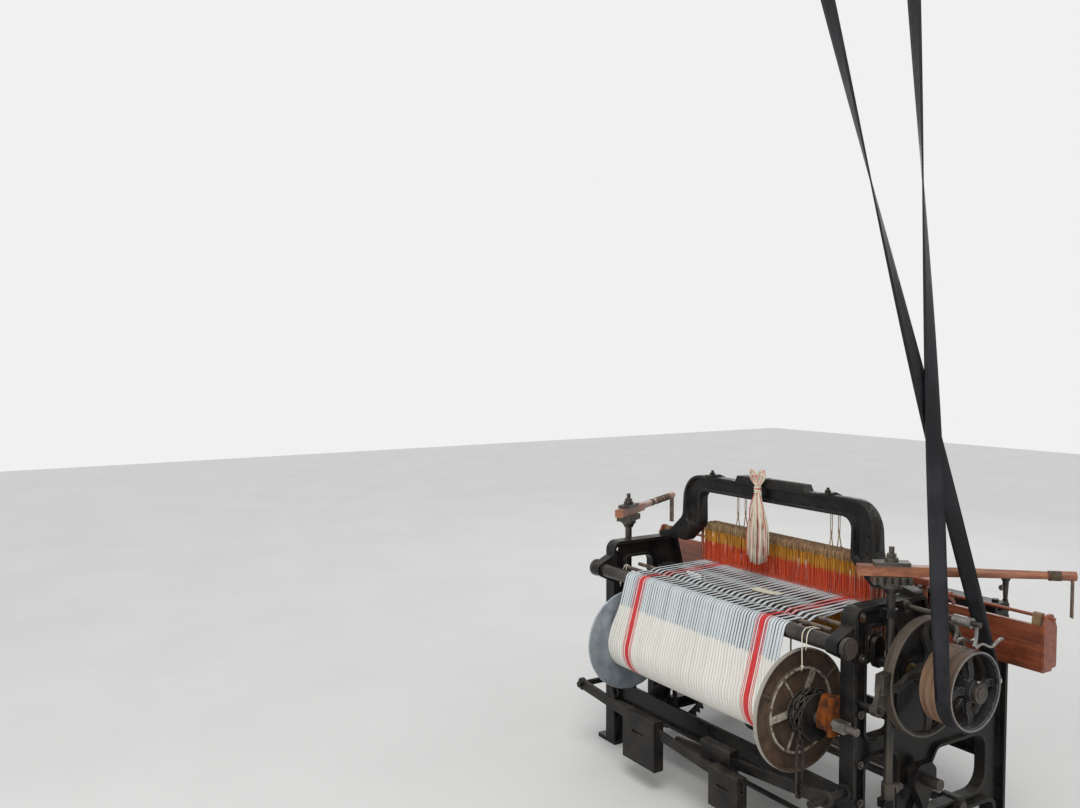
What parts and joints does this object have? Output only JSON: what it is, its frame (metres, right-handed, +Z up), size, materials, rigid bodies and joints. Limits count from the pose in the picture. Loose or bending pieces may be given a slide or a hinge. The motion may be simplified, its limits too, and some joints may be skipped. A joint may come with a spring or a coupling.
{
  "type": "power loom",
  "caption": "Belt-driven overpick power loom with cast-iron side frames, warp beam, healds on an arch, sley with shuttle boxes, and picking sticks.",
  "frame": {"origin": "on the floor at the middle of the four foot bolt holes", "axes": "+Z up, +Y to the warp beam at the rear, -X to the driving end with the pulleys"},
  "size_m": [2.151, 1.3729, 3.1599],
  "materials": {
    "frame_iron": "worn black paint over cast iron, brown dust on the ledges",
    "dark_steel": "oiled dark steel, dull",
    "dark_iron": "oily dark cast iron",
    "bronze": "dull bearing brass",
    "rusty_iron": "orange rust",
    "brown_iron": "brown cast iron, worn pale on the ribs",
    "grey_iron": "blue grey, smooth",
    "bright_steel": "bright worn steel",
    "chain_iron": "dark chain",
    "wheel_iron": "tan grey machined rim",
    "brown_rim": "brown rim polished by the belt",
    "dark_rim": "dark pulley with bright edges",
    "belt_leather": "black belt",
    "yarn": "cream cotton yarn",
    "warp": "bluish white yarn with two red bands",
    "cloth_white": "plain white cloth with red bands",
    "heald_yarn": "cream, golden and orange heald cord",
    "red_wood": "red brown varnished wood",
    "stick_wood": "orange brown worn wood",
    "boxwood": "smooth hard wood",
    "roller_wood": "wood roller with a rough cover",
    "hide": "buffalo hide"
  },
  "bodies": {
    "loom_frame": {"left_side_frame": "frame_iron", "right_side_frame": "frame_iron", "arch_rail": "frame_iron", "breast_beam": "frame_iron", "back_rest": "dark_steel", "cross_rails": "frame_iron", "crank_bushes": "bronze", "tappet_bushes": "bronze", "beam_bearings": "rusty_iron", "picking_bearings": "frame_iron", "lease_rods": "stick_wood", "warp_sheet": "warp", "cloth": "cloth_white", "temples": "dark_steel", "brake_chains": "chain_iron", "drive_belt": "belt_leather", "roller_brackets": "frame_iron", "belt_fork_rail": "dark_steel"},
    "warp_beam": {"beam_shaft": "bright_steel", "near_flange": "brown_iron", "far_flange": "grey_iron", "warp_roll": "yarn", "beam_ruffles": "dark_iron"},
    "crank": {"crankshaft": "dark_steel", "brake_wheel": "wheel_iron", "fast_pulley": "brown_rim", "crank_wheel": "dark_iron"},
    "loose": {"loose_pulley": "dark_rim"},
    "tappets": {"tappet_shaft": "dark_steel", "tappet_wheel": "dark_iron", "picking_tappets": "dark_iron", "shedding_tappets": "dark_iron"},
    "arms": {"crank_arms": "dark_steel"},
    "sley": {"rocking_shaft": "dark_steel", "sley_swords": "dark_iron", "sley_beam": "red_wood", "reed": "bright_steel", "hand_rail": "red_wood", "shuttle_boxes": "red_wood"},
    "flying_shuttle": {"shuttle": "boxwood"},
    "left_hide_picker": {"left_picker": "hide"},
    "right_hide_picker": {"right_picker": "hide"},
    "left_picking": {"left_picking_shaft": "dark_steel", "left_picking_stick": "stick_wood"},
    "right_picking": {"right_picking_shaft": "dark_steel", "right_picking_stick": "stick_wood"},
    "back_heald_pair": {"back_healds": "heald_yarn"},
    "front_heald_pair": {"front_healds": "heald_yarn"},
    "heald_top_roller": {"heald_roller": "stick_wood"},
    "back_lever": {"back_treadle": "dark_iron"},
    "front_lever": {"front_treadle": "dark_iron"},
    "take_up": {"take_up_roller": "roller_wood"},
    "ratchet": {"ratchet_wheel": "dark_iron"},
    "cloth_roll": {"cloth_roller": "cloth_white"},
    "left_weights": {"left_weight_lever": "dark_iron"},
    "right_weights": {"right_weight_lever": "dark_iron"},
    "handle": {"starting_handle": "dark_steel"},
    "fork": {"belt_fork": "bright_steel"},
    "brake": {"brake_lever": "dark_steel"}
  },
  "joints": [
    {"name": "beam_turn", "type": "hinge", "parent": "loom_frame", "child": "warp_beam", "pos_m": [0, 0.452, 0.531], "axis": [1, 0, 0], "continuous": true},
    {"name": "crank_turn", "type": "hinge", "parent": "loom_frame", "child": "crank", "pos_m": [0, 0.147, 0.675], "axis": [1, 0, 0], "continuous": true},
    {"name": "loose_pulley_turn", "type": "hinge", "parent": "crank", "child": "loose", "pos_m": [-0.93, 0.147, 0.675], "axis": [1, 0, 0], "continuous": true},
    {"name": "tappet_turn", "type": "hinge", "parent": "loom_frame", "child": "tappets", "pos_m": [0, 0.1, 0.29389], "axis": [1, 0, 0], "continuous": true},
    {"name": "crank_arm_pivot", "type": "hinge", "parent": "crank", "child": "arms", "pos_m": [0, 0.147, 0.735], "axis": [1, 0, 0], "continuous": true},
    {"name": "sley_swing", "type": "hinge", "parent": "loom_frame", "child": "sley", "pos_m": [0, -0.15, 0.12], "axis": [1, 0, 0], "range_deg": [-5.6, 5.6]},
    {"name": "left_picker_slide", "type": "slide", "parent": "sley", "child": "left_hide_picker", "axis": [1, 0, 0], "range_m": [-0.3, 0]},
    {"name": "shuttle_slide", "type": "slide", "parent": "sley", "child": "flying_shuttle", "axis": [1, 0, 0], "range_m": [-0.3, 0]},
    {"name": "right_picker_slide", "type": "slide", "parent": "sley", "child": "right_hide_picker", "axis": [1, 0, 0], "range_m": [0, 0.3]},
    {"name": "left_picking_turn", "type": "hinge", "parent": "loom_frame", "child": "left_picking", "pos_m": [0.73, 0.281, 0.258], "axis": [0, 0, 1], "range_deg": [-28, 0]},
    {"name": "right_picking_turn", "type": "hinge", "parent": "loom_frame", "child": "right_picking", "pos_m": [-0.73, 0.281, 0.258], "axis": [0, 0, 1], "range_deg": [0, 35]},
    {"name": "back_heald_lift", "type": "slide", "parent": "loom_frame", "child": "back_heald_pair", "axis": [0, 0, 1], "range_m": [-0.034, 0.034]},
    {"name": "front_heald_lift", "type": "slide", "parent": "loom_frame", "child": "front_heald_pair", "axis": [0, 0, 1], "range_m": [-0.034, 0.034]},
    {"name": "heald_roller_turn", "type": "hinge", "parent": "loom_frame", "child": "heald_top_roller", "pos_m": [0, 0.022, 1.191], "axis": [1, 0, 0], "range_deg": [-90, 90]},
    {"name": "back_treadle_swing", "type": "hinge", "parent": "loom_frame", "child": "back_lever", "pos_m": [-0.04, 0.389, 0.13], "axis": [1, 0, 0], "range_deg": [-6.2, 6.2]},
    {"name": "front_treadle_swing", "type": "hinge", "parent": "loom_frame", "child": "front_lever", "pos_m": [0.04, 0.389, 0.13], "axis": [1, 0, 0], "range_deg": [-5.4, 5.4]},
    {"name": "take_up_turn", "type": "hinge", "parent": "loom_frame", "child": "take_up", "pos_m": [0, -0.363, 0.7], "axis": [1, 0, 0], "continuous": true},
    {"name": "ratchet_turn", "type": "hinge", "parent": "loom_frame", "child": "ratchet", "pos_m": [0.73, -0.29512, 0.63212], "axis": [1, 0, 0], "continuous": true},
    {"name": "cloth_roll_turn", "type": "hinge", "parent": "loom_frame", "child": "cloth_roll", "pos_m": [0, -0.363, 0.545], "axis": [1, 0, 0], "continuous": true},
    {"name": "left_weight_lift", "type": "hinge", "parent": "loom_frame", "child": "left_weights", "pos_m": [0.6755, 0.57, 0.3], "axis": [0, 1, 0], "range_deg": [0, 2.5]},
    {"name": "right_weight_lift", "type": "hinge", "parent": "loom_frame", "child": "right_weights", "pos_m": [-0.6755, 0.52, 0.3], "axis": [0, 1, 0], "range_deg": [-2.5, 0]},
    {"name": "starting_handle_turn", "type": "hinge", "parent": "loom_frame", "child": "handle", "pos_m": [-0.6755, -0.446, 0.61], "axis": [0, 1, 0], "range_deg": [0, 14]},
    {"name": "belt_fork_slide", "type": "slide", "parent": "loom_frame", "child": "fork", "axis": [1, 0, 0], "range_m": [0, 0.06], "deforming": ["drive_belt"]},
    {"name": "brake_lever_turn", "type": "hinge", "parent": "loom_frame", "child": "brake", "pos_m": [-0.772, 0.395, 0.605], "axis": [1, 0, 0], "range_deg": [-6, 0]}
  ],
  "couplings": [
    {"joint": "tappet_turn", "follows": "crank_turn", "ratio": -0.5},
    {"joint": "crank_arm_pivot", "follows": "crank_turn", "ratio": -1},
    {"joint": "shuttle_slide", "follows": "left_picker_slide", "ratio": 1},
    {"joint": "front_heald_lift", "follows": "back_heald_lift", "ratio": -1},
    {"joint": "heald_roller_turn", "follows": "back_heald_lift", "rad_per_m": 45.87},
    {"joint": "back_treadle_swing", "follows": "back_heald_lift", "rad_per_m": -2.915},
    {"joint": "front_treadle_swing", "follows": "back_heald_lift", "rad_per_m": 2.558},
    {"joint": "ratchet_turn", "follows": "take_up_turn", "ratio": -3},
    {"joint": "belt_fork_slide", "follows": "starting_handle_turn", "m_per_rad": 0.2455}
  ]
}
